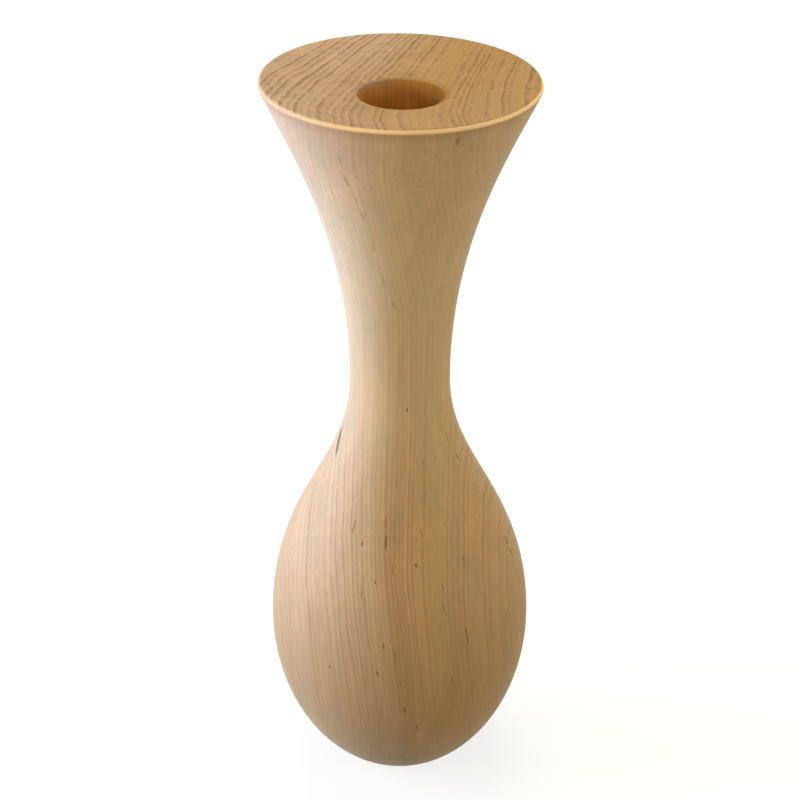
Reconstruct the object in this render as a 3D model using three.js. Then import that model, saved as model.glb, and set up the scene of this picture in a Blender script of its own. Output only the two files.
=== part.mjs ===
// Wooden vase, turned from one stick of softwood, with a glass tube in its bore that holds the water.
// Millimetres, +Z up, origin at the centre of the underside.

import * as THREE from 'three';

// Wooden body, outside
const VASE_HEIGHT = 283; // from the surface that the vase stands on to the top of the rim
const RIM_RADIUS = 50;
const RIM_ROUND = 1.3; // the rim's edge is a small rounded band
const FLARE_LEAN = 25.3; // degrees from upright, of the side just under the rim
const WAIST_DROP = 116.4; // from the top of the rim down to the slimmest place of the neck
const NECK_WALL = 3.15; // wood left round the bore at the slimmest place
const BELLY_RADIUS = 50;
const BELLY_HEIGHT = 61.8; // height of the widest place of the bulb
const FOOT_RADIUS = 21;

// How far each end of a side curve keeps its own direction, as a share of the height that the curve spans
const FLARE_HOLD = 0.26;
const THROAT_HOLD = 0.46;
const NECK_HOLD = 0.373;
const BELLY_HOLD = 0.487;

// Dished top and the mouth of the bore
const DISH_SLOPE = 9.2; // degrees that the top falls from the rim to the bore
const LIP_ROUND = 1.2; // the mouth of the bore is softened by sanding

// Glass tube
const TUBE_RADIUS = 14;
const TUBE_WALL = 1.5;
const TUBE_LENGTH = 150;
const TUBE_BASE = 2.2; // thickness of its flat bottom
const TUBE_CORNER = 2; // rounding inside, between wall and bottom
const BEAD_PROUD = 1; // the rim is melted to a round bead that stands out this far
const TUBE_SINK = 17; // from the mouth of the bore down to the tube's rim

// Cork disc under the tube
const CORK_THICKNESS = 3;

// Felt disc in a recess under the foot
const RECESS_RADIUS = 17;
const FELT_THICKNESS = 2.7;
const FELT_PROUD = 1; // how far the felt holds the wood off the table

// Clearances
const BORE_CLEARANCE = 0.5; // round the tube's bead
const DISC_CLEARANCE = 0.5; // round each disc
const SEAT_GAP = 0.3; // between a piece and the one that it rests on or is stuck to

// Fineness of the faceted surfaces
const BODY_SIDES = 64;
const SMALL_SIDES = 48;

const radians = THREE.MathUtils.degToRad;

const wood = new THREE.MeshStandardMaterial({ color: 0xc9a57c, roughness: 0.65, metalness: 0 });
const glass = new THREE.MeshStandardMaterial({
  color: 0xdfece6,
  roughness: 0.05,
  metalness: 0,
  transparent: true,
  opacity: 0.35
});
const cork = new THREE.MeshStandardMaterial({ color: 0xb48a5c, roughness: 0.9, metalness: 0 });
const felt = new THREE.MeshStandardMaterial({ color: 0x6b5544, roughness: 1, metalness: 0 });

// A point of a turned profile: its distance from the axis and its height.
function at(radius, height) {
  return new THREE.Vector2(radius, height);
}

// Points of a round stretch, between two directions in degrees, 0 pointing outwards and 90 up.
function round(centre, radius, fromAngle, toAngle, steps) {
  const arc = new THREE.EllipseCurve(
    centre.x, centre.y, radius, radius, radians(fromAngle), radians(toAngle), toAngle < fromAngle
  );
  return arc.getPoints(steps);
}

// A turned piece: its profile, swept round the Z axis.
function turned(name, profile, sides, material) {
  const points = profile.filter((point, i) => i === 0 || point.distanceTo(profile[i - 1]) > 1e-6);
  const geometry = new THREE.LatheGeometry(points, sides);
  geometry.rotateX(Math.PI / 2);
  const mesh = new THREE.Mesh(geometry, material);
  mesh.name = name;
  return mesh;
}

// A flat round disc with its underside at height 0.
function disc(name, radius, thickness, material) {
  const profile = [at(0, 0), at(radius, 0), at(radius, thickness), at(0, thickness)];
  return turned(name, profile, SMALL_SIDES, material);
}

// Levels and radii that follow from the sizes above
const boreRadius = TUBE_RADIUS + BEAD_PROUD + BORE_CLEARANCE;
const recessTop = FELT_THICKNESS + SEAT_GAP;
const footLevel = FELT_PROUD;
const waistRadius = boreRadius + NECK_WALL;
const waistLevel = VASE_HEIGHT - WAIST_DROP;

// The dish is a straight cone that runs tangent from the rounded rim to the rounded lip of the bore.
const dish = radians(DISH_SLOPE);
const dishStart = at(
  RIM_RADIUS - RIM_ROUND - RIM_ROUND * Math.sin(dish),
  VASE_HEIGHT - RIM_ROUND + RIM_ROUND * Math.cos(dish)
);
const dishEndRadius = boreRadius + LIP_ROUND - LIP_ROUND * Math.sin(dish);
const lipLevel = dishStart.y - (dishStart.x - dishEndRadius) * Math.tan(dish);

const tubeTop = lipLevel - TUBE_SINK;
const tubeBottom = tubeTop - TUBE_LENGTH;
const corkBottom = tubeBottom - SEAT_GAP - CORK_THICKNESS;
const boreFloor = corkBottom - SEAT_GAP;

// Underside of the bulb: part of an ellipse that is upright at the belly and meets the edge of the foot.
function bulbUnderside() {
  const footShare = FOOT_RADIUS / BELLY_RADIUS;
  const depth = (BELLY_HEIGHT - footLevel) / Math.sqrt(1 - footShare ** 2);
  const curve = new THREE.EllipseCurve(0, BELLY_HEIGHT, BELLY_RADIUS, depth, -Math.acos(footShare), 0);
  return curve.getPoints(11);
}

// Bulb's shoulder and lower neck: upright at the belly and at the waist.
function shoulder() {
  const span = waistLevel - BELLY_HEIGHT;
  const curve = new THREE.CubicBezierCurve(
    at(BELLY_RADIUS, BELLY_HEIGHT),
    at(BELLY_RADIUS, BELLY_HEIGHT + BELLY_HOLD * span),
    at(waistRadius, waistLevel - NECK_HOLD * span),
    at(waistRadius, waistLevel)
  );
  return curve.getPoints(16);
}

// Throat and flare: upright at the waist, and leaning out as it runs into the rounded rim.
function flare() {
  const lean = radians(FLARE_LEAN);
  const end = at(
    RIM_RADIUS - RIM_ROUND + RIM_ROUND * Math.cos(lean),
    VASE_HEIGHT - RIM_ROUND - RIM_ROUND * Math.sin(lean)
  );
  const span = end.y - waistLevel;
  const hold = FLARE_HOLD * span;
  const curve = new THREE.CubicBezierCurve(
    at(waistRadius, waistLevel),
    at(waistRadius, waistLevel + THROAT_HOLD * span),
    at(end.x - hold * Math.sin(lean), end.y - hold * Math.cos(lean)),
    end
  );
  return curve.getPoints(12);
}

function vaseBody() {
  const rimCentre = at(RIM_RADIUS - RIM_ROUND, VASE_HEIGHT - RIM_ROUND);
  const lipCentre = at(boreRadius + LIP_ROUND, lipLevel - LIP_ROUND * Math.cos(dish));
  const profile = [
    at(0, recessTop),
    at(RECESS_RADIUS, recessTop),
    at(RECESS_RADIUS, footLevel),
    ...bulbUnderside(),
    ...shoulder(),
    ...flare(),
    ...round(rimCentre, RIM_ROUND, -FLARE_LEAN, 90, 5),
    ...round(rimCentre, RIM_ROUND, 90, 90 + DISH_SLOPE, 1),
    ...round(lipCentre, LIP_ROUND, 90 + DISH_SLOPE, 180, 4),
    at(boreRadius, boreFloor),
    at(0, boreFloor)
  ];
  return turned('vase_body', profile, BODY_SIDES, wood);
}

// The tube's bead is tangent to its inner wall, and curls back to its outer wall.
function waterTube() {
  const innerRadius = TUBE_RADIUS - TUBE_WALL;
  const beadRadius = (TUBE_WALL + BEAD_PROUD) / 2;
  const beadCentre = at(innerRadius + beadRadius, TUBE_LENGTH - beadRadius);
  const curlBack = THREE.MathUtils.radToDeg(Math.acos((TUBE_WALL - beadRadius) / beadRadius));
  const outerCorner = TUBE_CORNER + TUBE_WALL;
  const outerCornerCentre = at(TUBE_RADIUS - outerCorner, outerCorner);
  const innerCornerCentre = at(innerRadius - TUBE_CORNER, TUBE_BASE + TUBE_CORNER);
  const profile = [
    at(0, 0),
    ...round(outerCornerCentre, outerCorner, -90, 0, 4),
    ...round(beadCentre, beadRadius, -curlBack, 180, 8),
    ...round(innerCornerCentre, TUBE_CORNER, 0, -90, 3),
    at(0, TUBE_BASE)
  ];
  const tube = turned('water_tube', profile, SMALL_SIDES, glass);
  tube.position.z = tubeBottom;
  return tube;
}

function corkDisc() {
  const piece = disc('cork_disc', boreRadius - DISC_CLEARANCE, CORK_THICKNESS, cork);
  piece.position.z = corkBottom;
  return piece;
}

function feltDisc() {
  return disc('felt_disc', RECESS_RADIUS - DISC_CLEARANCE, FELT_THICKNESS, felt);
}

const vase = new THREE.Group();
vase.add(vaseBody(), corkDisc(), feltDisc(), waterTube());

export default vase;
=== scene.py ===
"""A turned softwood vase with a glass tube for the water, on a pale studio floor. Metres, +Z up."""

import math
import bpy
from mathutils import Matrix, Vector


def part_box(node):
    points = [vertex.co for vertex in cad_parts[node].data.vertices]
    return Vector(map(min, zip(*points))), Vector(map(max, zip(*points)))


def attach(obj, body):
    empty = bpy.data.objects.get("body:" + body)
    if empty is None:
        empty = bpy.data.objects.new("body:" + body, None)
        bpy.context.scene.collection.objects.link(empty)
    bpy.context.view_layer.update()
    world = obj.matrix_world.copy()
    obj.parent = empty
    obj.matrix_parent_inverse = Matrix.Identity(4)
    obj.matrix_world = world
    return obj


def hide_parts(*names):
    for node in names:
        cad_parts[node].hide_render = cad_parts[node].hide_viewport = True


bl_info = {
    "name": "Turned Wooden Vase",
    "version": (1, 0, 0),
    "blender": (4, 5, 0),
    "location": "View3D > Sidebar > Wooden Vase",
    "description": "Turns a wooden vase, with its glass tube, cork and felt, and lights it in a studio",
    "category": "Add Mesh",
}

from types import SimpleNamespace

import bpy
from bpy.props import FloatProperty, FloatVectorProperty, PointerProperty
from mathutils import Matrix, Vector, noise
from mathutils.geometry import interpolate_bezier

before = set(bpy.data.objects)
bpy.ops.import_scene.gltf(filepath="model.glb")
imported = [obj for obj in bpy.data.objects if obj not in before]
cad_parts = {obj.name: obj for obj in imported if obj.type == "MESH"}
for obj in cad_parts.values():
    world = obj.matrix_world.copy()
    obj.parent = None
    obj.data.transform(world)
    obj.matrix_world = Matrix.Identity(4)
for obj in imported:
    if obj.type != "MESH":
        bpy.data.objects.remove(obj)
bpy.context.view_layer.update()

MM = 0.001
UP = math.pi / 2  # a direction in a profile, where 0 points outwards

BODY_LOW, BODY_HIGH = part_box("vase_body")
TUBE_LOW, TUBE_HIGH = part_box("water_tube")
CORK_LOW, CORK_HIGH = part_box("cork_disc")
FELT_LOW, FELT_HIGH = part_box("felt_disc")

# Clearances of the construction
DISC_CLEARANCE = 0.5 * MM  # round each disc
SEAT_GAP = 0.3 * MM  # between a piece and the one that it rests on

# How far each end of a side curve keeps its own direction, as a share of the height that it spans
FLARE_HOLD = 0.26
THROAT_HOLD = 0.46
NECK_HOLD = 0.373
BELLY_HOLD = 0.487

# Small irregularities of the real piece
RIM_TILT = math.radians(0.7)  # the rim is a little lower on the right
RIM_TILT_BACK = math.radians(0.35)  # and a little lower at the back
RIM_TILT_DEPTH = 70 * MM  # how far down the tilt fades out
MOUTH_DRIFT = 0.25 * MM  # the mouth of the bore lies a little to the right
MOUTH_DRIFT_DEPTH = 12 * MM  # how far down the drift fades out
MOUTH_DRIFT_REACH = 6 * MM  # how far out from the bore it fades out
LIP_UNEVEN = 0.7 * MM  # the mouth is sanded rounder on the right than on the left
EDGE_ROUND = 0.4 * MM  # the edges of the foot are broken with sandpaper
DIP_WIDTH = 1.4 * MM  # about how wide the small dips in the discs are

# Fineness of the turned surfaces: facets round the axis, steps of the curves, and how long the facets are
# along straight stretches
BODY_SIDES = 256
SMALL_SIDES = 128
UNDERSIDE_STEPS = 60
SHOULDER_STEPS = 90
FLARE_STEPS = 80
RIM_STEPS = 12
LIP_STEPS = 9
BEAD_STEPS = 20
CORNER_STEPS = 8
EDGE_STEPS = 4
RECESS_FACET = 4 * MM
DISH_FACET = 1.5 * MM
WALL_FACET = 6 * MM
BORE_FLOOR_FACET = 5 * MM
DISC_FACET = 0.8 * MM
DISC_EDGE_FACET = 0.6 * MM
CRISP_EDGE = math.radians(40)  # edges that bend more than this aren't smoothed
SAME_POINT = 0.0001 * MM  # points nearer than this are one


def linear(code):
    """Turns an sRGB hex code into linear red, green and blue."""
    channels = [int(code[i : i + 2], 16) / 255 for i in (1, 3, 5)]
    return tuple(v / 12.92 if v <= 0.04045 else ((v + 0.055) / 1.055) ** 2.4 for v in channels)


def length(name, description, default):
    return FloatProperty(
        name=name, description=description, default=default, min=0, unit="LENGTH", precision=4
    )


def angle(name, description, degrees):
    return FloatProperty(
        name=name, description=description, default=math.radians(degrees), subtype="ANGLE"
    )


def colour(name, description, code):
    return FloatVectorProperty(
        name=name, description=description, default=linear(code), min=0, max=1, subtype="COLOR"
    )


class VaseShape(bpy.types.PropertyGroup):
    height: length("Height", "From the surface that it stands on to the top of the rim", BODY_HIGH.z)
    rim_radius: length("Rim Radius", "Half the width of the dished top", BODY_HIGH.x)
    rim_round: length("Rim Rounding", "Rounding of the rim's edge", 1.3 * MM)
    flare_lean: angle("Flare Lean", "Lean of the side just under the rim, from upright", 25.3)
    waist_radius: length("Waist Radius", "Half the width of the neck at its slimmest", 18.65 * MM)
    waist_drop: length("Waist Drop", "From the rim down to the slimmest place", 116.4 * MM)
    belly_radius: length("Belly Radius", "Half the width of the bulb", 50 * MM)
    belly_height: length("Belly Height", "Height of the widest place of the bulb", 61.8 * MM)
    foot_radius: length("Foot Radius", "Half the width of the ring that the bulb ends in", 21 * MM)
    dish_slope: angle("Dish Slope", "Fall of the top from the rim to the bore", 9.2)
    lip_round: length("Lip Rounding", "Rounding of the mouth of the bore", 1.2 * MM)
    bore_radius: length("Bore Radius", "Radius of the bore", CORK_HIGH.x + DISC_CLEARANCE)
    recess_radius: length(
        "Recess Radius", "Radius of the recess for the felt", FELT_HIGH.x + DISC_CLEARANCE
    )
    tube_wall: length("Tube Wall", "Thickness of the glass", 1.5 * MM)
    tube_bead: length("Tube Bead", "How far the melted rim stands out", 1 * MM)
    tube_base: length("Tube Base", "Thickness of the glass at the bottom", 2.2 * MM)
    tube_corner: length("Tube Corner", "Rounding inside, between wall and bottom", 2 * MM)


class VaseColours(bpy.types.PropertyGroup):
    # Paler on the left: partly the wood near the bark and partly painted light, whiter where the lamps on
    # the left wash that side.
    sapwood_and_painted_light: colour("Sapwood", "Paler wood near the bark, on the left", "#DBC1A3")
    heartwood: colour("Heartwood", "Browner wood nearer the middle of the tree, on the right", "#CBAB70")
    latewood: colour("Latewood", "Dark line grown at the end of each summer", "#A47243")
    end_grain: colour("End Grain", "Latewood where the fibres are cut across", "#7F4A20")
    # This is a painted highlight on the rim's rounded edge.
    rim_highlight: colour("Burnished Edge", "Rim's edge, worn smooth and pale", "#FFD495")
    # The bore's colour is more orange than the outside. On the right it is darkened with painted shade.
    bored: colour("Bored Wall", "Wood inside the bore, browned by the drill", "#E6A24F")
    resin: colour("Resin", "Resin that seeped out at the rim", "#B8742C")
    mark: colour("Mark", "Resin ducts, knots and small bruises", "#683A14")
    glass: colour("Glass", "Clear glass, a little green through its thickness", "#F4F9F6")
    cork: colour("Cork", "Granules of the cork disc", "#BE9464")
    felt: colour("Felt", "Wool felt under the foot", "#5E4A3A")
    floor: colour("Floor", "Studio floor", "#8A8A88")


def shape():
    return bpy.context.scene.wooden_vase_shape


def colours():
    return bpy.context.scene.wooden_vase_colours


def at(radius, height):
    """A point of a turned profile: its distance from the axis and its height."""
    return Vector((radius, height))


def blend(low, high, value):
    """0 below low and 1 above high, with a smooth step between them; low may be the greater one."""
    share = min(1.0, max(0.0, (value - low) / (high - low)))
    return share * share * (3 - 2 * share)


def round_stretch(centre, radius, start, end, steps):
    """Points of an arc between two directions in radians, 0 pointing outwards and a quarter turn up."""
    turns = [start + (end - start) * i / steps for i in range(steps + 1)]
    return [centre + radius * at(math.cos(turn), math.sin(turn)) for turn in turns]


def straight(start, end, step):
    """Points along a straight stretch, about a step apart."""
    count = max(1, round((end - start).length / step))
    return [start.lerp(end, i / count) for i in range(count + 1)]


def turned_mesh(name, profile, sides, settle=None):
    """Sweeps a profile that starts and ends on the axis round Z, and settles each point if there is a
    function for that."""
    rows = [
        point
        for i, point in enumerate(profile)
        if i == 0 or (point - profile[i - 1]).length > SAME_POINT
    ]
    middle = rows[1:-1]
    turns = [2 * math.pi * i / sides for i in range(sides)]
    points = [Vector((0, 0, rows[0].y))]
    for radius, height in middle:
        points += [Vector((radius * math.cos(turn), radius * math.sin(turn), height)) for turn in turns]
    points.append(Vector((0, 0, rows[-1].y)))
    if settle:
        points = [settle(point) for point in points]
    last = len(points) - 1
    faces = []
    for i in range(sides):
        j = (i + 1) % sides
        faces.append((0, 1 + j, 1 + i))
        for row in range(len(middle) - 1):
            low, high = 1 + row * sides, 1 + (row + 1) * sides
            faces.append((low + i, low + j, high + j, high + i))
        top = 1 + (len(middle) - 1) * sides
        faces.append((top + i, top + j, last))
    mesh = bpy.data.meshes.new(name)
    mesh.from_pydata(points, [], faces)
    mesh.validate()
    mesh.shade_smooth()
    mesh.set_sharp_from_angle(angle=CRISP_EDGE)
    piece = bpy.data.objects.new(name, mesh)
    bpy.context.scene.collection.objects.link(piece)
    return piece


# Small functions that build materials from nodes

def add(tree, kind, inputs=None, **settings):
    """Adds a node with its settings. Each input, by name or number, gets a value or a link."""
    node = tree.nodes.new("ShaderNode" + kind)
    for setting, value in settings.items():
        setattr(node, setting, value)
    sockets = [socket for socket in node.inputs if socket.enabled]
    for key, value in (inputs or {}).items():
        socket = sockets[key] if isinstance(key, int) else next(s for s in sockets if s.name == key)
        if isinstance(value, bpy.types.Node):
            value = next(output for output in value.outputs if output.enabled)
        if isinstance(value, bpy.types.NodeSocket):
            tree.links.new(value, socket)
        elif socket.type == "RGBA" and len(value) == 3:
            socket.default_value = (*value, 1)
        else:
            socket.default_value = value
    return node


def ramp_up(tree, value, start, end, low=0, high=1, kind="SMOOTHSTEP"):
    """Low at the start and high at the end, with a smooth step between them."""
    limits = {"From Min": start, "From Max": end, "To Min": low, "To Max": high}
    return add(tree, "MapRange", {"Value": value, **limits}, interpolation_type=kind)


def even_ramp(tree, value, start, end, low=0, high=1):
    """Low at the start and high at the end, with a straight line between them."""
    return ramp_up(tree, value, start, end, low, high, "LINEAR")


def product(tree, first, *others):
    """All the values multiplied."""
    for other in others:
        first = add(tree, "Math", {0: first, 1: other}, operation="MULTIPLY")
    return first


def times(tree, first, second):
    """Two vectors or colours multiplied part by part."""
    return add(tree, "VectorMath", {0: first, 1: second}, operation="MULTIPLY")


def scaled(tree, first, factor):
    """A vector or colour with all its parts multiplied by one factor."""
    return add(tree, "VectorMath", {0: first, "Scale": factor}, operation="SCALE")


def mixed(tree, share, first, second, kind="RGBA"):
    """The first where the share is 0, the second where it is 1, and a mixture in between."""
    return add(tree, "Mix", {"Factor": share, "A": first, "B": second}, data_type=kind)


def fill_ramp(node, stops):
    """Gives a ramp its stops, each a position and a colour."""
    elements = node.color_ramp.elements
    for element, (position, value) in zip(elements, (stops[0], stops[-1])):
        element.position = position
        element.color = (*value, 1)
    for position, value in stops[1:-1]:
        elements.new(position).color = (*value, 1)


def bent_place(tree, place, scale, reach):
    """The place, moved about by noise, so that nothing drawn with it is straight."""
    wander = add(tree, "TexNoise", {"Vector": place, "Scale": scale, "Detail": 2})
    moved = {0: wander.outputs["Color"], 1: (reach,) * 3, 2: place}
    return add(tree, "VectorMath", moved, operation="MULTIPLY_ADD")


def new_material(name):
    """A material with an empty node tree."""
    material = bpy.data.materials.new(name)
    material.use_nodes = True
    material.node_tree.nodes.clear()
    return material


# The vase's outline

def bulb_underside(vase):
    """Part of an ellipse that is upright at the belly and meets the edge of the foot."""
    foot_share = vase.foot_radius / vase.belly_radius
    depth = (vase.belly_height - BODY_LOW.z) / math.sqrt(1 - foot_share**2)
    start = -math.acos(foot_share)
    turns = [start * (1 - i / UNDERSIDE_STEPS) for i in range(UNDERSIDE_STEPS + 1)]
    return [
        at(vase.belly_radius * math.cos(turn), vase.belly_height + depth * math.sin(turn))
        for turn in turns
    ]


def side_curve(start, start_handle, end_handle, end, steps):
    """Points of a smooth curve that leaves each end towards that end's handle."""
    handles = [point.to_3d() for point in (start, start_handle, end_handle, end)]
    return [point.xy for point in interpolate_bezier(*handles, steps + 1)]


def waist_point(vase):
    """The slimmest place of the neck."""
    return at(vase.waist_radius, vase.height - vase.waist_drop)


def shoulder(vase):
    """From the belly up to the waist, upright at both ends."""
    belly = at(vase.belly_radius, vase.belly_height)
    waist = waist_point(vase)
    span = waist.y - belly.y
    above_belly = belly + at(0, BELLY_HOLD * span)
    below_waist = waist - at(0, NECK_HOLD * span)
    return side_curve(belly, above_belly, below_waist, waist, SHOULDER_STEPS)


def rim_centre(vase):
    """Centre of the rim's rounding."""
    return at(vase.rim_radius - vase.rim_round, vase.height - vase.rim_round)


def flare(vase):
    """From the waist up to the rounded rim, upright at the waist and leaning out at the rim."""
    waist = waist_point(vase)
    end = rim_centre(vase) + vase.rim_round * at(math.cos(vase.flare_lean), -math.sin(vase.flare_lean))
    span = end.y - waist.y
    lean = FLARE_HOLD * span * at(math.sin(vase.flare_lean), math.cos(vase.flare_lean))
    return side_curve(waist, waist + at(0, THROAT_HOLD * span), end - lean, end, FLARE_STEPS)


def lip_level(vase):
    """Height at which the dish runs into the rounded mouth of the bore."""
    towards_dish = at(-math.sin(vase.dish_slope), math.cos(vase.dish_slope))
    start = rim_centre(vase) + vase.rim_round * towards_dish
    end_radius = vase.bore_radius + vase.lip_round * (1 - math.sin(vase.dish_slope))
    return start.y - (start.x - end_radius) * math.tan(vase.dish_slope)


def body_profile(vase):
    """From the middle of the recess under the foot, up the outside, over the rim and down the bore."""
    recess_top = FELT_HIGH.z + SEAT_GAP
    recess_corner = at(vase.recess_radius, recess_top)
    inner_edge = at(vase.recess_radius + EDGE_ROUND, BODY_LOW.z + EDGE_ROUND)
    bore_floor = CORK_LOW.z - SEAT_GAP
    bore_corner = at(vase.bore_radius, bore_floor)
    dish = UP + vase.dish_slope
    rim = round_stretch(rim_centre(vase), vase.rim_round, -vase.flare_lean, dish, RIM_STEPS)
    lip_drop = vase.lip_round * math.cos(vase.dish_slope)
    lip_centre = at(vase.bore_radius + vase.lip_round, lip_level(vase) - lip_drop)
    lip = round_stretch(lip_centre, vase.lip_round, dish, 2 * UP, LIP_STEPS)
    return [
        *straight(at(0, recess_top), recess_corner, RECESS_FACET),
        *round_stretch(inner_edge, EDGE_ROUND, 2 * UP, 3 * UP, EDGE_STEPS),
        *bulb_underside(vase),
        *shoulder(vase),
        *flare(vase),
        *rim,
        *straight(rim[-1], lip[0], DISH_FACET),
        *lip,
        *straight(lip[-1], bore_corner, WALL_FACET),
        *straight(bore_corner, at(0, bore_floor), BORE_FLOOR_FACET),
    ]


def settle_body(point):
    """The real piece isn't quite true: its rim tilts, and its mouth lies a little to the right."""
    vase = shape()
    radius = math.hypot(point.x, point.y)
    near_rim = blend(vase.height - RIM_TILT_DEPTH, vase.height, point.z)
    outside = blend(vase.bore_radius, vase.rim_radius, radius)
    drop = (math.tan(RIM_TILT) * point.x + math.tan(RIM_TILT_BACK) * point.y) * near_rim * outside
    near_mouth = blend(lip_level(vase) - MOUTH_DRIFT_DEPTH, lip_level(vase), point.z)
    lip_radius = vase.bore_radius + vase.lip_round
    at_mouth = near_mouth * blend(vase.bore_radius + MOUTH_DRIFT_REACH, lip_radius, radius)
    rounder = LIP_UNEVEN * (point.x / max(radius, MM)) * at_mouth
    rounder *= blend(vase.bore_radius, lip_radius, radius)
    outwards = Vector((point.x, point.y, 0)).normalized()
    return point + Vector((MOUTH_DRIFT * at_mouth, 0, -drop)) + rounder * outwards


# Softwood. The tree's rings are upright sheets, which the turning cuts across on the top and lengthwise on
# the sides. All sizes in the wood are in millimetres.

RING_CENTRE = 111  # the curved rings straighten out this far to the right
RING_CURVE = 0.0075  # how strongly the rings curve, per millimetre
RING_FRONT = -31.5  # where the rings run straight from front to back
RING_SPACING = 2.7
FINE_SPACING = 2.05  # softer lines lie between, and show most on the sides
RING_UNEVENNESS = 3.4  # how far the rings wander from an even spacing
RING_WAVES = {"sway": 5.0, "wave": 1.8, "ripple": 0.5}  # patterns that bend the rings, and by how much

# Ramps through the wood: where each one starts and ends, and what it is at the start and at the end
FLARE_DRIFT = (278, 196, 0, 15)  # by height, how far the rings move to the right down the flare
LEFT_SHARE = (-35, 40, 1, 0.25)  # from left to right, how much of that drift there is
BULB_DRIFT = (115, 0, 0, 9)  # by height, how far the rings move to the right in the lower bulb
BULB_GRAIN = (115, 165, 1, 0.3)  # by height, how strong the grain is from the bulb up to the neck
FOOT_GRAIN = (15, 75, 0.6, 1)  # by height, how strong it is from the foot up to the bulb
WHOLE_RINGS = (0.3, 0.62, 0.3, 1)  # how much of the rings is left, over the pattern that breaks them
# The ramp runs from the paler wood on the left, which is partly painted light, to heartwood.
HEARTWOOD_STARTS = (-40, 8)  # across the rings, from sapwood to heartwood
FIBRES_CUT = (0.6, 0.95)  # how far a surface faces up or down, from plain to full end grain

# How dark the wood is over one ring: a crisp ring darkens slowly and ends sharply, on the side of the bark
CRISP_RING = ((0.0, 0.35), (0.09, 0.02), (0.3, 0.08), (0.58, 0.5), (0.82, 1.0), (0.94, 0.85))
SOFT_RING = ((0.0, 0.55), (0.2, 0.1), (0.4, 0.0), (0.6, 0.25), (0.82, 1.0), (1.0, 0.55))

# How strongly the crisp rings, the soft ones and the ones that stand out show: on the sides, and where the
# fibres are cut across
CRISP_CONTRAST = (0.35, 0.7)
SOFT_CONTRAST = (0.68, 0.12)
LINE_CONTRAST = (0.12, 0.8)

# Groups of years that grew darker or paler, by their place across the rings
RING_REACH = 60
GROWTH_BANDS = (
    (-RING_REACH, (0.96, 0.96, 0.96)),
    (-20, (0.96, 0.96, 0.96)),
    (-4, (1.0, 1.0, 1.0)),
    (9, (1.0, 1.0, 1.0)),
    (20, (0.96, 0.96, 0.96)),
    (RING_REACH, (0.96, 0.96, 0.96)),
)

# One group of years grew browner. On each side of it, the brown starts and is full at these places.
BROWN_YEARS = ((-19, -16), (-7, -10.5))
BROWN_TINT = (0.88, 0.84, 0.75)

GRAIN_PATTERNS = {
    # name: width across the grain, length along it, detail
    "sway": (55, 150, 1),
    "wave": (9, 60, 1),
    "ripple": (3.4, 24, 1),
    "blotch": (14, 70, 3),
    "hue": (6, 110, 1),
    "band": (1.5, 90, 2),
    "fibre": (0.45, 14, 2),
    "break": (3.2, 12, 2),
}

# How much patterns change how light the wood is, and the two tints between which its hue wanders
LIGHTNESS_REACH = {"blotch": 0.06, "hue": 0.04, "band": 0.06, "fibre": 0.03}
HUE_TINTS = ((0.98, 1.0, 1.01), (1.02, 0.98, 0.95))

# Painted shade and light, as what is left of the red, green and blue of the wood: on the sides by height,
# from under the bulb up to the belly, the shoulder, the waist, the flare and the rim, and on the left and
# right of the top. Down the sides it is painted shade towards the foot, and painted light, paler and
# cooler, up the neck and the flare.
HEIGHT_LIGHT_AND_SHADE = (
    (30, (0.62, 0.55, 0.4)),
    (50, (0.66, 0.57, 0.44)),
    (62, (0.7, 0.61, 0.48)),
    (98, (0.85, 0.76, 0.66)),
    (120, (0.86, 0.78, 0.7)),
    (166, (0.96, 0.9, 0.84)),
    (225, (0.96, 0.97, 1.0)),
    (278, (0.93, 0.86, 0.89)),
    (281, (0.82, 0.68, 0.66)),
)
# The top's own tints, left and right: redder, partly for the cut fibre ends and partly painted light,
# since the lamps here send little light onto the top.
TOP_TINTS_AND_LIGHT = ((0.95, 0.82, 0.73), (0.86, 0.7, 0.61))

# Rings that stand out on the top, by their place left (-) or right of the axis, and their strength
STRONG_RINGS = (
    (-49.4, 0.55),
    (-44, 1.0),
    (-35, 0.4),
    (-26, 0.5),
    (-20, 0.5),
    (-6, 0.35),
    (6, 0.45),
    (17, 0.7),
    (27.5, 0.6),
)
STRONG_RING_WIDTH = 0.55

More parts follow.
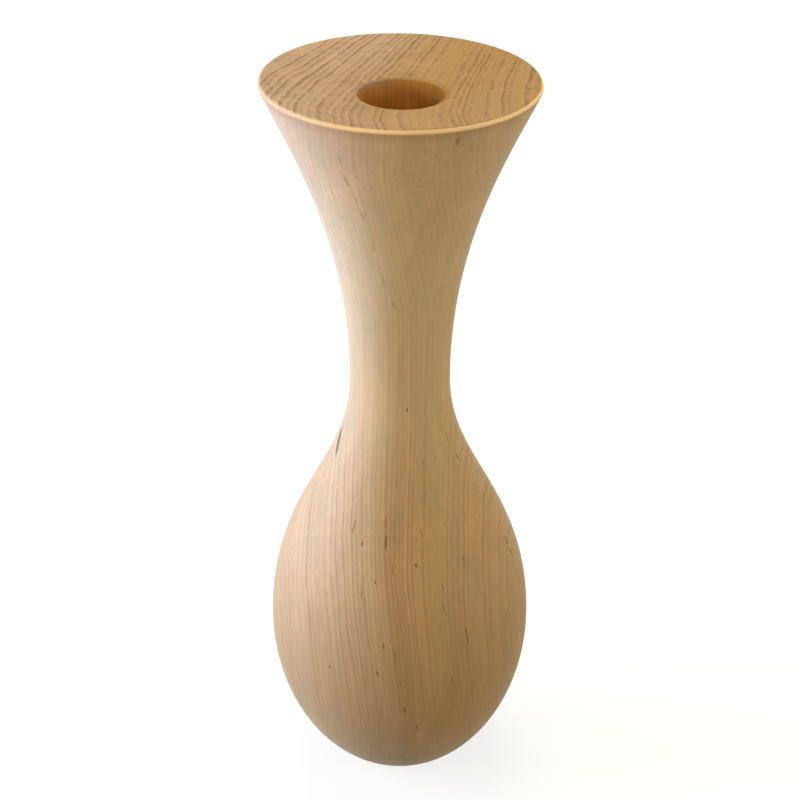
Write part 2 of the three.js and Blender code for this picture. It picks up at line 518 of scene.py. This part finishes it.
# Small marks on the sides, by their place right of the axis and height, half width, half height, lean in
# degrees and strength. They are on the front, so their depth follows from the outline.
SIDE_MARKS = (
    (19.2, 277.3, 0.7, 1.7, 8, 0.45),
    (8.5, 274.5, 0.35, 2.2, 14, 0.2),
    (12.5, 270.5, 0.35, 2.6, 16, 0.2),
    (24, 274, 0.3, 2.4, 8, 0.2),
    (-20.6, 268.5, 0.45, 2.2, 8, 0.22),
    (-18.4, 259, 0.5, 2.4, 14, 0.3),
    (-15.6, 251.5, 0.4, 1.9, 22, 0.24),
    (-13.2, 244.5, 0.5, 2.2, 14, 0.3),
    (-9.6, 230, 0.35, 1.6, 10, 0.2),
    (-6.2, 217, 0.4, 2.2, 10, 0.22),
    (-2.4, 206, 0.35, 2.0, 8, 0.25),
    (2.6, 161.5, 0.28, 0.8, 0, 0.8),
    (17.3, 147.0, 0.2, 1.6, 6, 0.5),
    (21.4, 138.3, 0.25, 1.0, 8, 0.8),
    (8.9, 140.9, 0.2, 0.7, 0, 0.6),
    (26.3, 134.0, 0.5, 2.2, 14, 0.35),
    (-5.1, 121.5, 0.22, 1.6, 2, 0.7),
    (-5.1, 115.1, 0.28, 2.4, 0, 0.85),
    (-17.1, 118.4, 0.22, 2.4, 0, 0.7),
    (7.9, 118.0, 0.18, 1.8, 4, 0.5),
    (40.7, 101.4, 0.35, 1.8, 12, 0.75),
    (42.7, 96.1, 0.4, 2.0, 12, 0.7),
    (-14.0, 113.3, 0.3, 0.6, 0, 0.8),
    (24.0, 105.8, 0.25, 1.0, 8, 0.6),
    (6.0, 107.4, 0.35, 0.6, 10, 0.75),
    (-2.6, 105.8, 0.2, 1.6, 0, 0.5),
    (-9.2, 101.2, 0.3, 0.7, 0, 0.7),
    (15.8, 98.7, 0.2, 1.4, 6, 0.45),
    (-14.2, 96.1, 0.22, 1.5, 0, 0.6),
    (16.1, 90.8, 0.2, 1.4, 4, 0.45),
    (25.4, 77.3, 0.35, 3.4, 6, 0.5),
    (-6.1, 77.4, 0.35, 1.2, 4, 0.6),
    (40.9, 76.7, 0.25, 1.8, 6, 0.5),
    (-1.5, 73.3, 0.2, 1.8, 10, 0.5),
    (-26.3, 63.9, 0.3, 0.7, 0, 0.7),
    (-8.1, 65.6, 0.35, 0.9, 8, 0.7),
    (0.2, 62.0, 0.2, 1.6, 8, 0.45),
    (19.9, 60.7, 0.2, 2.2, 10, 0.45),
    (2.1, 48.2, 0.3, 1.6, 12, 0.6),
    (6.7, 38.4, 0.3, 1.4, 12, 0.6),
    (-23.1, 140.8, 1.1, 5.6, 33, 0.9),
)

# Marks on the top, by their place right of the axis and towards the back, half length, half width,
# direction in degrees from the right, and strength
TOP_MARKS = (
    (-43.8, 3.5, 1.1, 0.4, 35, 0.45),
    (-46.0, -6.0, 0.9, 0.45, 50, 0.5),
    (-40.5, -17.5, 0.8, 0.5, 60, 0.4),
    (-27.0, -31.0, 0.3, 1.9, 15, 0.4),
    (-23.6, -33.5, 0.3, 1.9, 5, 0.35),
    (-16.9, 0.6, 1.0, 0.5, 10, 0.3),
    (45.6, -6.6, 1.9, 0.25, 4, 0.85),
)

# Spots of resin at the rim, given in the same way
RESIN_SPOTS = (
    (48.4, 0.3, 1.1, 0.5, 75, 0.6),
    (47.6, -9.6, 1.5, 0.7, 80, 0.75),
    (37.0, 27.9, 1.0, 0.5, 50, 0.6),
)

MARK_DEPTH = 2.5  # half depth of a mark or spot, so that it surely reaches the surface
MARK_FADE = (1.5, 0.8)  # half sizes out from its middle, where a mark starts to show, and shows fully
MARK_ROUGHNESS = 0.7  # how far the edge of a mark wanders in and out

# The more orange colour in the bore, shifted to the right, where it carries painted shade onto the right
# wall and lip
BORE_TINT_CENTRE = (0.6, -0.4, 0)  # a little to the right of the axis, and in front of it
BROWN_UPWARDS = (-0.09, 0, 1)  # the direction in which it fades, so that it reaches higher on the right


def outline_radius(vase):
    """A function that gives the radius of the outside at a height, both in millimetres."""
    points = [point / MM for point in (*bulb_underside(vase), *shoulder(vase), *flare(vase))]

    def radius_at(height):
        for low, high in zip(points, points[1:]):
            if low.y <= height < high.y:
                return low.x + (high.x - low.x) * (height - low.y) / (high.y - low.y)
        return points[-1].x

    return radius_at


def side_marks(radius_at):
    """The marks on the sides, each as a slim upright egg that leans as the grain does there."""
    for across, height, half_width, half_height, lean, strength in SIDE_MARKS:
        forward = math.sqrt(max(0, radius_at(height) ** 2 - across**2))
        turn = (0, math.radians(-lean), math.atan2(across, forward))
        yield (across, -forward, height), (half_width, MARK_DEPTH, half_height), turn, strength


def top_marks(vase, marks):
    """The marks on the top, each as a flat egg at the level of the dish."""
    for across, back, half_length, half_width, direction, strength in marks:
        fall = (vase.rim_radius / MM - math.hypot(across, back)) * math.tan(vase.dish_slope)
        centre = (across, back, vase.height / MM - fall)
        yield centre, (half_length, half_width, MARK_DEPTH), (0, 0, math.radians(direction)), strength


def mark_mask(tree, place, marks):
    """The strength of each mark in its middle, and 0 outside them all. A mark is given as a centre, three
    half sizes, a turn and a strength."""
    mask = None
    for centre, halves, turn, strength in marks:
        fitted = {"Vector": place, "Location": centre, "Rotation": turn, "Scale": halves}
        local = add(tree, "Mapping", fitted, vector_type="TEXTURE")
        far = add(tree, "VectorMath", {0: local}, operation="LENGTH").outputs["Value"]
        near = ramp_up(tree, far, *MARK_FADE, 0, strength)
        mask = near if mask is None else add(tree, "Math", {0: mask, 1: near}, operation="MAXIMUM")
    return mask


def grain_patterns(tree, place):
    """Noise from 0 to 1, drawn out along the grain, for each of the patterns."""
    patterns = {}
    for name, (across, along, detail) in GRAIN_PATTERNS.items():
        drawn_out = times(tree, place, (1 / across, 1 / across, 1 / along))
        patterns[name] = add(tree, "TexNoise", {"Vector": drawn_out, "Scale": 1, "Detail": detail})
    return patterns


def roughened_place(wood):
    """The place, moved about a little each way, so that marks drawn with it have rough edges."""
    tree = wood.tree
    wander = scaled(tree, wood.patterns["break"].outputs["Color"], MARK_ROUGHNESS)
    moved = add(tree, "VectorMath", {0: wood.place, 1: wander}, operation="ADD")
    return add(tree, "VectorMath", {0: moved, 1: (MARK_ROUGHNESS / 2,) * 3}, operation="SUBTRACT")


def ring_place(wood):
    """Where a point lies across the rings: 0 near the axis, and negative towards the bark."""
    tree = wood.tree
    # Down the flare the rings move to the right, most on the left, and again in the lower bulb.
    in_flare = ramp_up(tree, wood.z, *FLARE_DRIFT)
    on_left = even_ramp(tree, wood.x, *LEFT_SHARE)
    in_bulb = ramp_up(tree, wood.z, *BULB_DRIFT)
    drift = add(tree, "Math", {0: in_flare, 1: on_left, 2: in_bulb}, operation="MULTIPLY_ADD")
    across = add(tree, "Math", {0: wood.x, 1: drift}, operation="SUBTRACT")
    for name, reach in RING_WAVES.items():
        centred = add(tree, "Math", {0: wood.patterns[name], 1: 0.5}, operation="SUBTRACT")
        across = add(tree, "Math", {0: centred, 1: reach, 2: across}, operation="MULTIPLY_ADD")
    # In front of RING_FRONT and behind it the rings curve to the right, less so towards RING_CENTRE.
    back = add(tree, "Math", {0: wood.y, 1: RING_FRONT}, operation="SUBTRACT")
    power = product(tree, product(tree, back, back), RING_CURVE / (2 * RING_CENTRE))
    growth = add(tree, "Math", {0: power}, operation="EXPONENT")
    inward = add(tree, "Math", {0: RING_CENTRE, 1: across}, operation="SUBTRACT")
    return add(tree, "Math", {0: RING_CENTRE, 1: product(tree, inward, growth)}, operation="SUBTRACT")


def ring_darkness(tree, ring, spacing, weakest, stops):
    """Latewood over each ring, from 0 to 1, with a random width and strength for each year."""
    uneven = add(tree, "TexNoise", {"W": ring, "Scale": 0.09, "Detail": 0}, noise_dimensions="1D")
    count = product(tree, ring, -1 / spacing)
    wandered = {0: uneven, 1: RING_UNEVENNESS / spacing, 2: count}
    count = add(tree, "Math", wandered, operation="MULTIPLY_ADD")
    share = add(tree, "Math", {0: count}, operation="FRACT")
    year = add(tree, "Math", {0: count}, operation="FLOOR")
    strength = add(tree, "TexWhiteNoise", {"W": year}, noise_dimensions="1D")
    strength = even_ramp(tree, strength, 0.15, 0.85, weakest)
    profile = add(tree, "ValToRGB", {"Fac": share})
    profile.color_ramp.interpolation = "EASE"
    fill_ramp(profile, [(position, (value,) * 3) for position, value in stops])
    return product(tree, profile, strength)


def ring_ramp(tree, ring, stops):
    """A ramp over the rings, whose stops are places across them and colours."""
    ramp = add(tree, "ValToRGB", {"Fac": even_ramp(tree, ring, -RING_REACH, RING_REACH)})
    fill_ramp(ramp, [((place + RING_REACH) / (2 * RING_REACH), value) for place, value in stops])
    return ramp


def strong_lines(tree, ring):
    """The few rings that stand out on the top, as thin dark lines."""
    stops = [(-RING_REACH, (0, 0, 0))]
    for place, strength in STRONG_RINGS:
        for offset, value in ((-0.4, 0), (0, strength), (1, 0)):
            stops.append((place + offset * STRONG_RING_WIDTH, (value,) * 3))
    return ring_ramp(tree, ring, [*stops, (RING_REACH, (0, 0, 0))])


def plain_wood(wood):
    """Paler wood on the left and browner heartwood on the right. The paleness on the left is partly the
    wood near the bark and partly painted light from the lamps on that side. Down the sides, painted shade
    darkens the wood towards the foot and painted light makes it paler up the neck and the flare. The top
    is redder, partly for its cut fibre ends and partly painted light."""
    tree = wood.tree
    aged = ramp_up(tree, wood.ring, *HEARTWOOD_STARTS)
    # Paler on the left: partly the wood near the bark and partly painted light from the lamps on that
    # side.
    base = mixed(tree, aged, wood.colours.sapwood_and_painted_light, wood.colours.heartwood)
    # Painted shade towards the foot and painted light up the neck and flare, by height. The top gets its
    # own tint, partly for the cut fibre ends and partly painted light.
    level = add(tree, "Math", {0: wood.z, 1: wood.vase.height / MM}, operation="DIVIDE")
    painted_by_height = add(tree, "ValToRGB", {"Fac": level})
    fill_ramp(painted_by_height, [(height * MM / wood.vase.height, tint) for height, tint in HEIGHT_LIGHT_AND_SHADE])
    on_top = ramp_up(tree, wood.normal_z, *FIBRES_CUT)
    painted_light_and_top_tint = mixed(tree, on_top, painted_by_height, mixed(tree, aged, *TOP_TINTS_AND_LIGHT))
    hue = ramp_up(tree, wood.patterns["hue"], 0.3, 0.7)
    base = times(tree, times(tree, base, painted_light_and_top_tint), mixed(tree, hue, *HUE_TINTS))
    return times(tree, base, ring_ramp(tree, wood.ring, GROWTH_BANDS))


def with_rings(wood, base):
    """Adds the rings: soft on the sides, and crisp and partly broken on the top."""
    tree = wood.tree
    # The grain is strongest on the bulb, and the brown years show most there.
    grain = product(tree, ramp_up(tree, wood.z, *BULB_GRAIN), ramp_up(tree, wood.z, *FOOT_GRAIN))
    brown = product(tree, grain, *(ramp_up(tree, wood.ring, *side) for side in BROWN_YEARS))
    base = times(tree, base, mixed(tree, brown, (1, 1, 1), BROWN_TINT))
    late = mixed(tree, wood.cut_across, wood.colours.latewood, wood.colours.end_grain)
    whole = ramp_up(tree, wood.patterns["break"], *WHOLE_RINGS)
    crisp = product(tree, wood.rings, whole)
    for darkness, (on_sides, at_ends) in ((crisp, CRISP_CONTRAST), (wood.fine_rings, SOFT_CONTRAST)):
        contrast = mixed(tree, wood.cut_across, product(tree, grain, on_sides), at_ends, "FLOAT")
        base = mixed(tree, product(tree, darkness, contrast), base, late)
    line_contrast = even_ramp(tree, wood.cut_across, 0, 1, *LINE_CONTRAST)
    lines = product(tree, strong_lines(tree, wood.ring), whole, line_contrast)
    return mixed(tree, lines, base, wood.colours.end_grain)


def with_patterns(wood, base):
    """Adds slow blotches, soft bands and fine fibres, which change how light the wood is."""
    levels = [
        even_ramp(wood.tree, wood.patterns[name], 0.25, 0.75, 1 - reach, 1 + reach)
        for name, reach in LIGHTNESS_REACH.items()
    ]
    return scaled(wood.tree, base, product(wood.tree, *levels))


def with_marks(wood, base):
    """Adds the small marks on the sides and the top."""
    marks = [*side_marks(outline_radius(wood.vase)), *top_marks(wood.vase, TOP_MARKS)]
    return mixed(wood.tree, mark_mask(wood.tree, wood.rough_place, marks), base, wood.colours.mark)


def with_painted_highlight(wood, base):
    """Adds a painted highlight on the rim's rounded edge, weakest on the left, where the lamps light the
    edge most, and the spots of resin on it. The edge faces up less than the top does, and more than the
    leaning side does."""
    tree = wood.tree
    rim_radius = wood.vase.rim_radius / MM
    height = wood.vase.height / MM
    top_faces = math.cos(wood.vase.dish_slope)
    side_faces = -math.sin(wood.vase.flare_lean)
    from_axis = add(tree, "VectorMath", {0: wood.flat_place}, operation="LENGTH").outputs["Value"]
    # Painted highlight along the rim's rounded edge, weakest on the left.
    highlight_share = product(
        tree,
        ramp_up(tree, wood.normal_z, top_faces - 0.004, top_faces - 0.18),
        ramp_up(tree, wood.normal_z, side_faces + 0.05, side_faces + 0.75),
        ramp_up(tree, from_axis, rim_radius - 3, rim_radius - 2),
        ramp_up(tree, wood.z, height - 6, height - 4),
        ramp_up(tree, wood.x, -52, -8, 0.2, 0.97),
    )
    highlighted = mixed(tree, highlight_share, base, wood.colours.rim_highlight)
    resin = mark_mask(tree, wood.rough_place, top_marks(wood.vase, RESIN_SPOTS))
    return mixed(tree, resin, highlighted, wood.colours.resin)


def bored_share(wood):
    """1 in the bore and 0 outside it, fading out at the mouth. It reaches higher on the right, which
    carries painted shade onto the right of the mouth.
    """
    tree = wood.tree
    bore_radius = wood.vase.bore_radius / MM
    mouth = lip_level(wood.vase) / MM
    from_tint_centre = add(tree, "VectorMath", {0: wood.flat_place, 1: BORE_TINT_CENTRE}, operation="DISTANCE")
    up_wall = add(tree, "VectorMath", {0: wood.place, 1: BROWN_UPWARDS}, operation="DOT_PRODUCT")
    # The recess under the foot is about as wide as the bore, and isn't browned.
    above_foot = ramp_up(tree, wood.z, 50, 60)
    return product(
        tree,
        ramp_up(tree, from_tint_centre.outputs["Value"], bore_radius + 1.9, bore_radius + 0.7),
        above_foot,
        ramp_up(tree, up_wall.outputs["Value"], mouth - 0.3, mouth - 2.5, 0.25, 1),
    )


def bored_wall(wood):
    """The bore's wood, more orange, in fine streaks, and darkened on the right with painted shade, since
    the lamps on the left light that wall.
    """
    streaks = ramp_up(wood.tree, wood.patterns["band"], 0.3, 0.7, 0.9, 1.08)
    # Painted shade: darker on the right wall, which the lamps on the left light.
    painted_shade_on_right = ramp_up(wood.tree, wood.x, 2, wood.vase.bore_radius / MM + 1.5, 0.96, 0.52)
    return scaled(wood.tree, wood.colours.bored, product(wood.tree, streaks, painted_shade_on_right))


def softwood(vase, tones):
    """Slow-grown softwood, turned, sanded and finished with oil: fine upright stripes on the sides, crisp
    ring lines where the top cuts the fibres across, and a matt finish that turns pale where light grazes
    it. Its colour carries painted light and shade: by height, on the top, on the pale left side, on the
    rim's edge and in the bore."""
    material = new_material("softwood_turned_and_oiled")
    tree = material.node_tree
    coordinates = add(tree, "TexCoord")
    wood = SimpleNamespace(tree=tree, vase=vase, colours=tones)
    wood.place = scaled(tree, coordinates.outputs["Object"], 1 / MM)
    wood.x, wood.y, wood.z = add(tree, "SeparateXYZ", {0: wood.place}).outputs
    wood.flat_place = add(tree, "CombineXYZ", {"X": wood.x, "Y": wood.y})
    wood.normal_z = add(tree, "SeparateXYZ", {0: coordinates.outputs["Normal"]}).outputs["Z"]
    wood.patterns = grain_patterns(tree, wood.place)
    wood.rough_place = roughened_place(wood)
    wood.ring = ring_place(wood)
    wood.rings = ring_darkness(tree, wood.ring, RING_SPACING, 0.2, CRISP_RING)
    wood.fine_rings = ring_darkness(tree, wood.ring, FINE_SPACING, 0.25, SOFT_RING)

    # The fibres end on the top and under the bulb, and there the rings are crisper.
    levelness = add(tree, "Math", {0: wood.normal_z}, operation="ABSOLUTE")
    wood.cut_across = ramp_up(tree, levelness, *FIBRES_CUT)

    base = with_rings(wood, plain_wood(wood))
    base = with_marks(wood, with_patterns(wood, base))
    bored = bored_share(wood)
    finished = mixed(tree, bored, with_painted_highlight(wood, base), bored_wall(wood))

    # The oil leaves a weak gloss, less where the fibres took it up. There is none in the bore.
    not_bored = add(tree, "Math", {0: 1, 1: bored}, operation="SUBTRACT")
    sealed = product(tree, not_bored, ramp_up(tree, wood.cut_across, 0, 1, 1, 0.3))

    # Latewood is harder, so sanding leaves it a little proud and smoother.
    roughness = even_ramp(tree, wood.rings, 0, 1, 0.62, 0.54)
    fibre_height = product(tree, wood.patterns["fibre"], 0.5)
    height = add(tree, "Math", {0: wood.rings, 1: 0.4, 2: fibre_height}, operation="MULTIPLY_ADD")
    bump = add(tree, "Bump", {"Strength": 0.5, "Distance": 0.014 * MM, "Height": height})
    surface = add(
        tree, "BsdfPrincipled",
        {
            "Base Color": finished, "Roughness": roughness, "Normal": bump, "IOR": 1.5,
            "Specular IOR Level": product(tree, sealed, 0.3),
            "Sheen Weight": product(tree, sealed, 0.1), "Sheen Roughness": 0.5,
        },
    )
    add(tree, "OutputMaterial", {"Surface": surface})
    return material


def clear_glass(tones):
    """Borosilicate tube, drawn and flame polished: clear, faintly green at its edges, with slow draw
    lines and a few smears."""
    material = new_material("borosilicate_glass_drawn")
    tree = material.node_tree
    place = add(tree, "TexCoord").outputs["Object"]
    drawn = times(tree, place, (220, 220, 12))
    lines = add(tree, "TexNoise", {"Vector": drawn, "Scale": 1, "Detail": 1})
    bump = add(tree, "Bump", {"Strength": 0.3, "Distance": 0.05 * MM, "Height": lines})
    smears = add(tree, "TexNoise", {"Vector": place, "Scale": 90, "Detail": 3})
    glass = add(
        tree, "BsdfPrincipled",
        {
            "Base Color": tones.glass, "Roughness": even_ramp(tree, smears, 0.5, 0.75, 0.01, 0.07),
            "Normal": bump, "IOR": 1.47, "Transmission Weight": 1,
        },
    )
    through = add(tree, "BsdfTransparent", {"Color": tones.glass})
    shadow = add(tree, "LightPath").outputs["Is Shadow Ray"]
    surface = add(tree, "MixShader", {0: shadow, 1: glass, 2: through})
    add(tree, "OutputMaterial", {"Surface": surface})
    return material


def pressed_cork(tones):
    """Agglomerated cork, pressed and sliced: matt, with granules of 1 to 3 mm in mixed browns and dark
    gaps between them."""
    material = new_material("cork_pressed_and_sliced")
    tree = material.node_tree
    place = add(tree, "TexCoord").outputs["Object"]
    granule_cells = {"Vector": bent_place(tree, place, 900, 0.8 * MM), "Scale": 520}
    granules = add(tree, "TexVoronoi", granule_cells)
    gaps = add(tree, "TexVoronoi", granule_cells, feature="DISTANCE_TO_EDGE")
    tone = add(tree, "SeparateXYZ", {0: granules.outputs["Color"]}).outputs["X"]
    specks = add(tree, "TexNoise", {"Vector": place, "Scale": 4200, "Detail": 2})
    level = product(
        tree, even_ramp(tree, tone, 0, 1, 0.62, 1.12), even_ramp(tree, specks, 0.3, 0.7, 0.85, 1.1)
    )
    open_gap = ramp_up(tree, gaps, 0.09, 0)
    base = mixed(tree, open_gap, scaled(tree, tones.cork, level), scaled(tree, tones.cork, 0.25))
    height = add(tree, "Math", {0: level, 1: open_gap}, operation="SUBTRACT")
    bump = add(tree, "Bump", {"Strength": 0.8, "Distance": 0.15 * MM, "Height": height})
    surface = add(tree, "BsdfPrincipled", {"Base Color": base, "Roughness": 0.85, "Normal": bump})
    add(tree, "OutputMaterial", {"Surface": surface})
    return material


def wool_felt(tones):
    """Needled wool felt: matted fibres about 0.05 mm thick, drawn coarser here so that they show, with
    fuzz that catches light at the edge."""
    material = new_material("wool_felt_needled")
    tree = material.node_tree
    place = add(tree, "TexCoord").outputs["Object"]
    bent = bent_place(tree, place, 700, 4 * MM)
    fibres = add(tree, "TexNoise", {"Vector": bent, "Scale": 2600, "Detail": 4, "Roughness": 0.7})
    base = scaled(tree, tones.felt, even_ramp(tree, fibres, 0.3, 0.7, 0.6, 1.35))
    bump = add(tree, "Bump", {"Strength": 1, "Distance": 0.2 * MM, "Height": fibres})
    surface = add(
        tree, "BsdfPrincipled",
        {
            "Base Color": base, "Roughness": 0.95, "Normal": bump,
            "Sheen Weight": 0.4, "Sheen Roughness": 0.6,
        },
    )
    add(tree, "OutputMaterial", {"Surface": surface})
    return material


class VASE_OT_wooden_body(bpy.types.Operator):
    """Turn the wooden body: foot, bulb, neck, flare, dished top and bore"""

    bl_idname = "wooden_vase.body"
    bl_label = "Turn Wooden Body"

    def execute(self, context):
        vase = shape()
        piece = turned_mesh("turned_body", body_profile(vase), BODY_SIDES, settle_body)
        piece.data.materials.append(softwood(vase, colours()))
        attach(piece, "vase")
        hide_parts("vase_body")
        return {"FINISHED"}


class VASE_OT_glass_tube(bpy.types.Operator):
    """Draw the glass tube that stands in the bore and holds the water"""

    bl_idname = "wooden_vase.glass_tube"
    bl_label = "Draw Glass Tube"

    def execute(self, context):
        piece = turned_mesh("drawn_tube", self.profile(shape()), SMALL_SIDES)
        piece.data.materials.append(clear_glass(colours()))
        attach(piece, "water_tube")
        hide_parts("water_tube")
        return {"FINISHED"}

    def profile(self, vase):
        """From the middle of the bottom, up the outside, over the melted bead and down the inside."""
        outer = TUBE_HIGH.x - vase.tube_bead
        inner = outer - vase.tube_wall
        bead = (vase.tube_wall + vase.tube_bead) / 2
        bead_centre = at(inner + bead, TUBE_HIGH.z - bead)
        curl_back = math.acos((vase.tube_wall - bead) / bead)
        outer_corner = vase.tube_corner + vase.tube_wall
        outer_centre = at(outer - outer_corner, TUBE_LOW.z + outer_corner)
        inner_centre = at(inner - vase.tube_corner, TUBE_LOW.z + vase.tube_base + vase.tube_corner)
        outside = round_stretch(outer_centre, outer_corner, -UP, 0, CORNER_STEPS)
        rim = round_stretch(bead_centre, bead, -curl_back, 2 * UP, BEAD_STEPS)
        inside = round_stretch(inner_centre, vase.tube_corner, 0, -UP, CORNER_STEPS)
        return [
            at(0, TUBE_LOW.z),
            *outside,
            *straight(outside[-1], rim[0], WALL_FACET),
            *rim,
            *straight(rim[-1], inside[0], WALL_FACET),
            *inside,
            at(0, TUBE_LOW.z + vase.tube_base),
        ]


class VASE_OT_discs(bpy.types.Operator):
    """Cut the cork disc under the tube and the felt disc under the foot"""

    bl_idname = "wooden_vase.discs"
    bl_label = "Cut Cork and Felt Discs"

    def execute(self, context):
        tones = colours()
        cork = self.disc("cut_cork", CORK_LOW, CORK_HIGH, edge=0.3 * MM, unevenness=0.06 * MM)
        cork.data.materials.append(pressed_cork(tones))
        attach(cork, "vase")
        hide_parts("cork_disc")
        felt = self.disc("cut_felt", FELT_LOW, FELT_HIGH, edge=0.7 * MM, unevenness=0.1 * MM)
        felt.data.materials.append(wool_felt(tones))
        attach(felt, "vase")
        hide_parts("felt_disc")
        return {"FINISHED"}

    def disc(self, name, low, high, edge, unevenness):
        """A round disc with softened edges, whose surface dips unevenly and never swells past its size."""
        lower = round_stretch(at(high.x - edge, low.z + edge), edge, -UP, 0, EDGE_STEPS)
        upper = round_stretch(at(high.x - edge, high.z - edge), edge, 0, UP, EDGE_STEPS)
        profile = [
            *straight(at(0, low.z), lower[0], DISC_FACET),
            *lower,
            *straight(lower[-1], upper[0], DISC_EDGE_FACET),
            *upper,
            *straight(upper[-1], at(0, high.z), DISC_FACET),
        ]
        middle = (low + high) / 2

        def press(point):
            depth = unevenness * abs(noise.noise(point / DIP_WIDTH))
            return point + depth * (middle - point).normalized()

        return turned_mesh(name, profile, SMALL_SIDES, press)


class VASE_OT_stage(bpy.types.Operator):
    """Lay the studio floor, hang the lights and set the camera"""

    bl_idname = "wooden_vase.stage"
    bl_label = "Set Studio Stage"

    camera_distance = 752.1 * MM  # from the axis, level
    camera_height = 560.5 * MM
    camera_pitch = math.radians(28.293)
    camera_roll = math.radians(0.11)
    picture_width = 800
    focal_pixels = 2273.2

    floor_reach = 4  # metres from the vase to each side of the floor
    floor_whitens = (0.4, 1.6)  # metres from the vase, between which the floor turns fully white
    lamp_aim = Vector((0, 0, 0.15))  # near the middle of the vase

    # Each lamp by its name, its direction in degrees, 0 at the camera and 90 on the left, how high it
    # stands in degrees, its distance, size and power, and its colour
    lamps = (
        ("left_softbox", 75, 6, 1.2, (0.8, 1.0), 12.4, (1.0, 0.82, 0.4)),
        ("window", 95, 6, 1.2, (0.8, 1.0), 27.0, (0.33, 0.55, 1.0)),
        ("right_fill", -60, 6, 1.3, (0.9, 1.0), 9.5, (1.0, 0.97, 0.95)),
        ("front_fill", 35, 38, 1.4, (0.8, 0.8), 1.4, (1.0, 0.97, 0.9)),
        ("overhead_fill", 180, 65, 1.5, (0.9, 0.9), 12.0, (1.0, 1.0, 0.8)),
    )

    def execute(self, context):
        scene = context.scene
        scene.view_settings.view_transform = "Standard"
        self.floor()
        self.lights(scene)
        self.world(scene)
        self.camera(scene)
        return {"FINISHED"}

    def floor(self):
        """A pale floor, white to the eye, that keeps the soft shadow where the vase meets it."""
        mesh = bpy.data.meshes.new("studio_floor")
        reach = self.floor_reach
        corners = ((-reach, -reach, 0), (reach, -reach, 0), (reach, reach, 0), (-reach, reach, 0))
        mesh.from_pydata(corners, [], [(0, 1, 2, 3)])
        floor = bpy.data.objects.new("studio_floor", mesh)
        bpy.context.scene.collection.objects.link(floor)
        material = new_material("studio_floor_painted")
        tree = material.node_tree
        paint = add(tree, "BsdfDiffuse", {"Color": colours().floor})
        far = add(tree, "VectorMath", {0: add(tree, "TexCoord").outputs["Object"]}, operation="LENGTH")
        whiteness = ramp_up(tree, far.outputs["Value"], *self.floor_whitens, 0.8, 1)
        glow = add(tree, "Emission", {"Color": (1, 1, 1), "Strength": whiteness})
        bright = add(tree, "AddShader", {0: paint, 1: glow})
        surface = add(tree, "MixShader", {0: self.seen(tree), 1: paint, 2: bright})
        add(tree, "OutputMaterial", {"Surface": surface})
        mesh.materials.append(material)

    def seen(self, tree):
        """1 for what the camera sees, also mirrored or through glass, and 0 for light on the object."""
        path = add(tree, "LightPath").outputs
        share = path["Is Camera Ray"]
        for kind in ("Is Glossy Ray", "Is Transmission Ray"):
            share = add(tree, "Math", {0: share, 1: path[kind]}, operation="MAXIMUM")
        return share

    def world(self, scene):
        """A dim warm room round the vase, and a white backdrop behind it."""
        world = bpy.data.worlds.new("studio_room")
        scene.world = world
        world.use_nodes = True
        tree = world.node_tree
        tree.nodes.clear()
        room = add(tree, "Background", {"Color": (1, 0.96, 0.8), "Strength": 0.25})
        backdrop = add(tree, "Background", {"Color": (1, 1, 1), "Strength": 1})
        surface = add(tree, "MixShader", {0: self.seen(tree), 1: room, 2: backdrop})
        add(tree, "OutputWorld", {"Surface": surface})

    def lights(self, scene):
        """Soft lamps on both sides, in front and overhead, all aimed at the vase."""
        for name, side, rise, distance, size, power, tint in self.lamps:
            turn, lift = math.radians(side), math.radians(rise)
            forward = math.cos(lift)
            towards = Vector((-math.sin(turn) * forward, -math.cos(turn) * forward, math.sin(lift)))
            data = bpy.data.lights.new(name, "AREA")
            data.shape = "RECTANGLE"
            data.size, data.size_y = size
            data.energy = power
            data.color = tint
            lamp = bpy.data.objects.new(name, data)
            lamp.location = self.lamp_aim + distance * towards
            lamp.rotation_euler = (-towards).to_track_quat("-Z", "Z").to_euler()
            scene.collection.objects.link(lamp)

    def camera(self, scene):
        """A camera in front of the vase, looking down at it as the photograph does."""
        data = bpy.data.cameras.new("studio_camera")
        data.lens = data.sensor_width * self.focal_pixels / self.picture_width
        camera = bpy.data.objects.new("studio_camera", data)
        tilt = Matrix.Rotation(math.pi / 2 - self.camera_pitch, 4, "X")
        place = Matrix.Translation((0, -self.camera_distance, self.camera_height))
        camera.matrix_world = place @ tilt @ Matrix.Rotation(self.camera_roll, 4, "Z")
        scene.collection.objects.link(camera)
        scene.camera = camera


class VASE_PT_sidebar(bpy.types.Panel):
    """Buttons that build the pieces and the stage, with the sizes and colours below them"""

    bl_idname = "VASE_PT_sidebar"
    bl_label = "Wooden Vase"
    bl_space_type = "VIEW_3D"
    bl_region_type = "UI"
    bl_category = "Wooden Vase"

    def draw(self, context):
        for operator in OPERATORS:
            self.layout.operator(operator.bl_idname)
        for group, kind in ((shape(), VaseShape), (colours(), VaseColours)):
            box = self.layout.box()
            for name in kind.__annotations__:
                box.prop(group, name)


OPERATORS = (VASE_OT_wooden_body, VASE_OT_glass_tube, VASE_OT_discs, VASE_OT_stage)
CLASSES = (VaseShape, VaseColours, *OPERATORS, VASE_PT_sidebar)


def register():
    for kind in CLASSES:
        bpy.utils.register_class(kind)
    bpy.types.Scene.wooden_vase_shape = PointerProperty(type=VaseShape)
    bpy.types.Scene.wooden_vase_colours = PointerProperty(type=VaseColours)


def unregister():
    del bpy.types.Scene.wooden_vase_colours
    del bpy.types.Scene.wooden_vase_shape
    for kind in reversed(CLASSES):
        bpy.utils.unregister_class(kind)


def main():
    register()
    bpy.ops.wooden_vase.body()
    bpy.ops.wooden_vase.glass_tube()
    bpy.ops.wooden_vase.discs()
    bpy.ops.wooden_vase.stage()


if __name__ == "__main__":
    main()
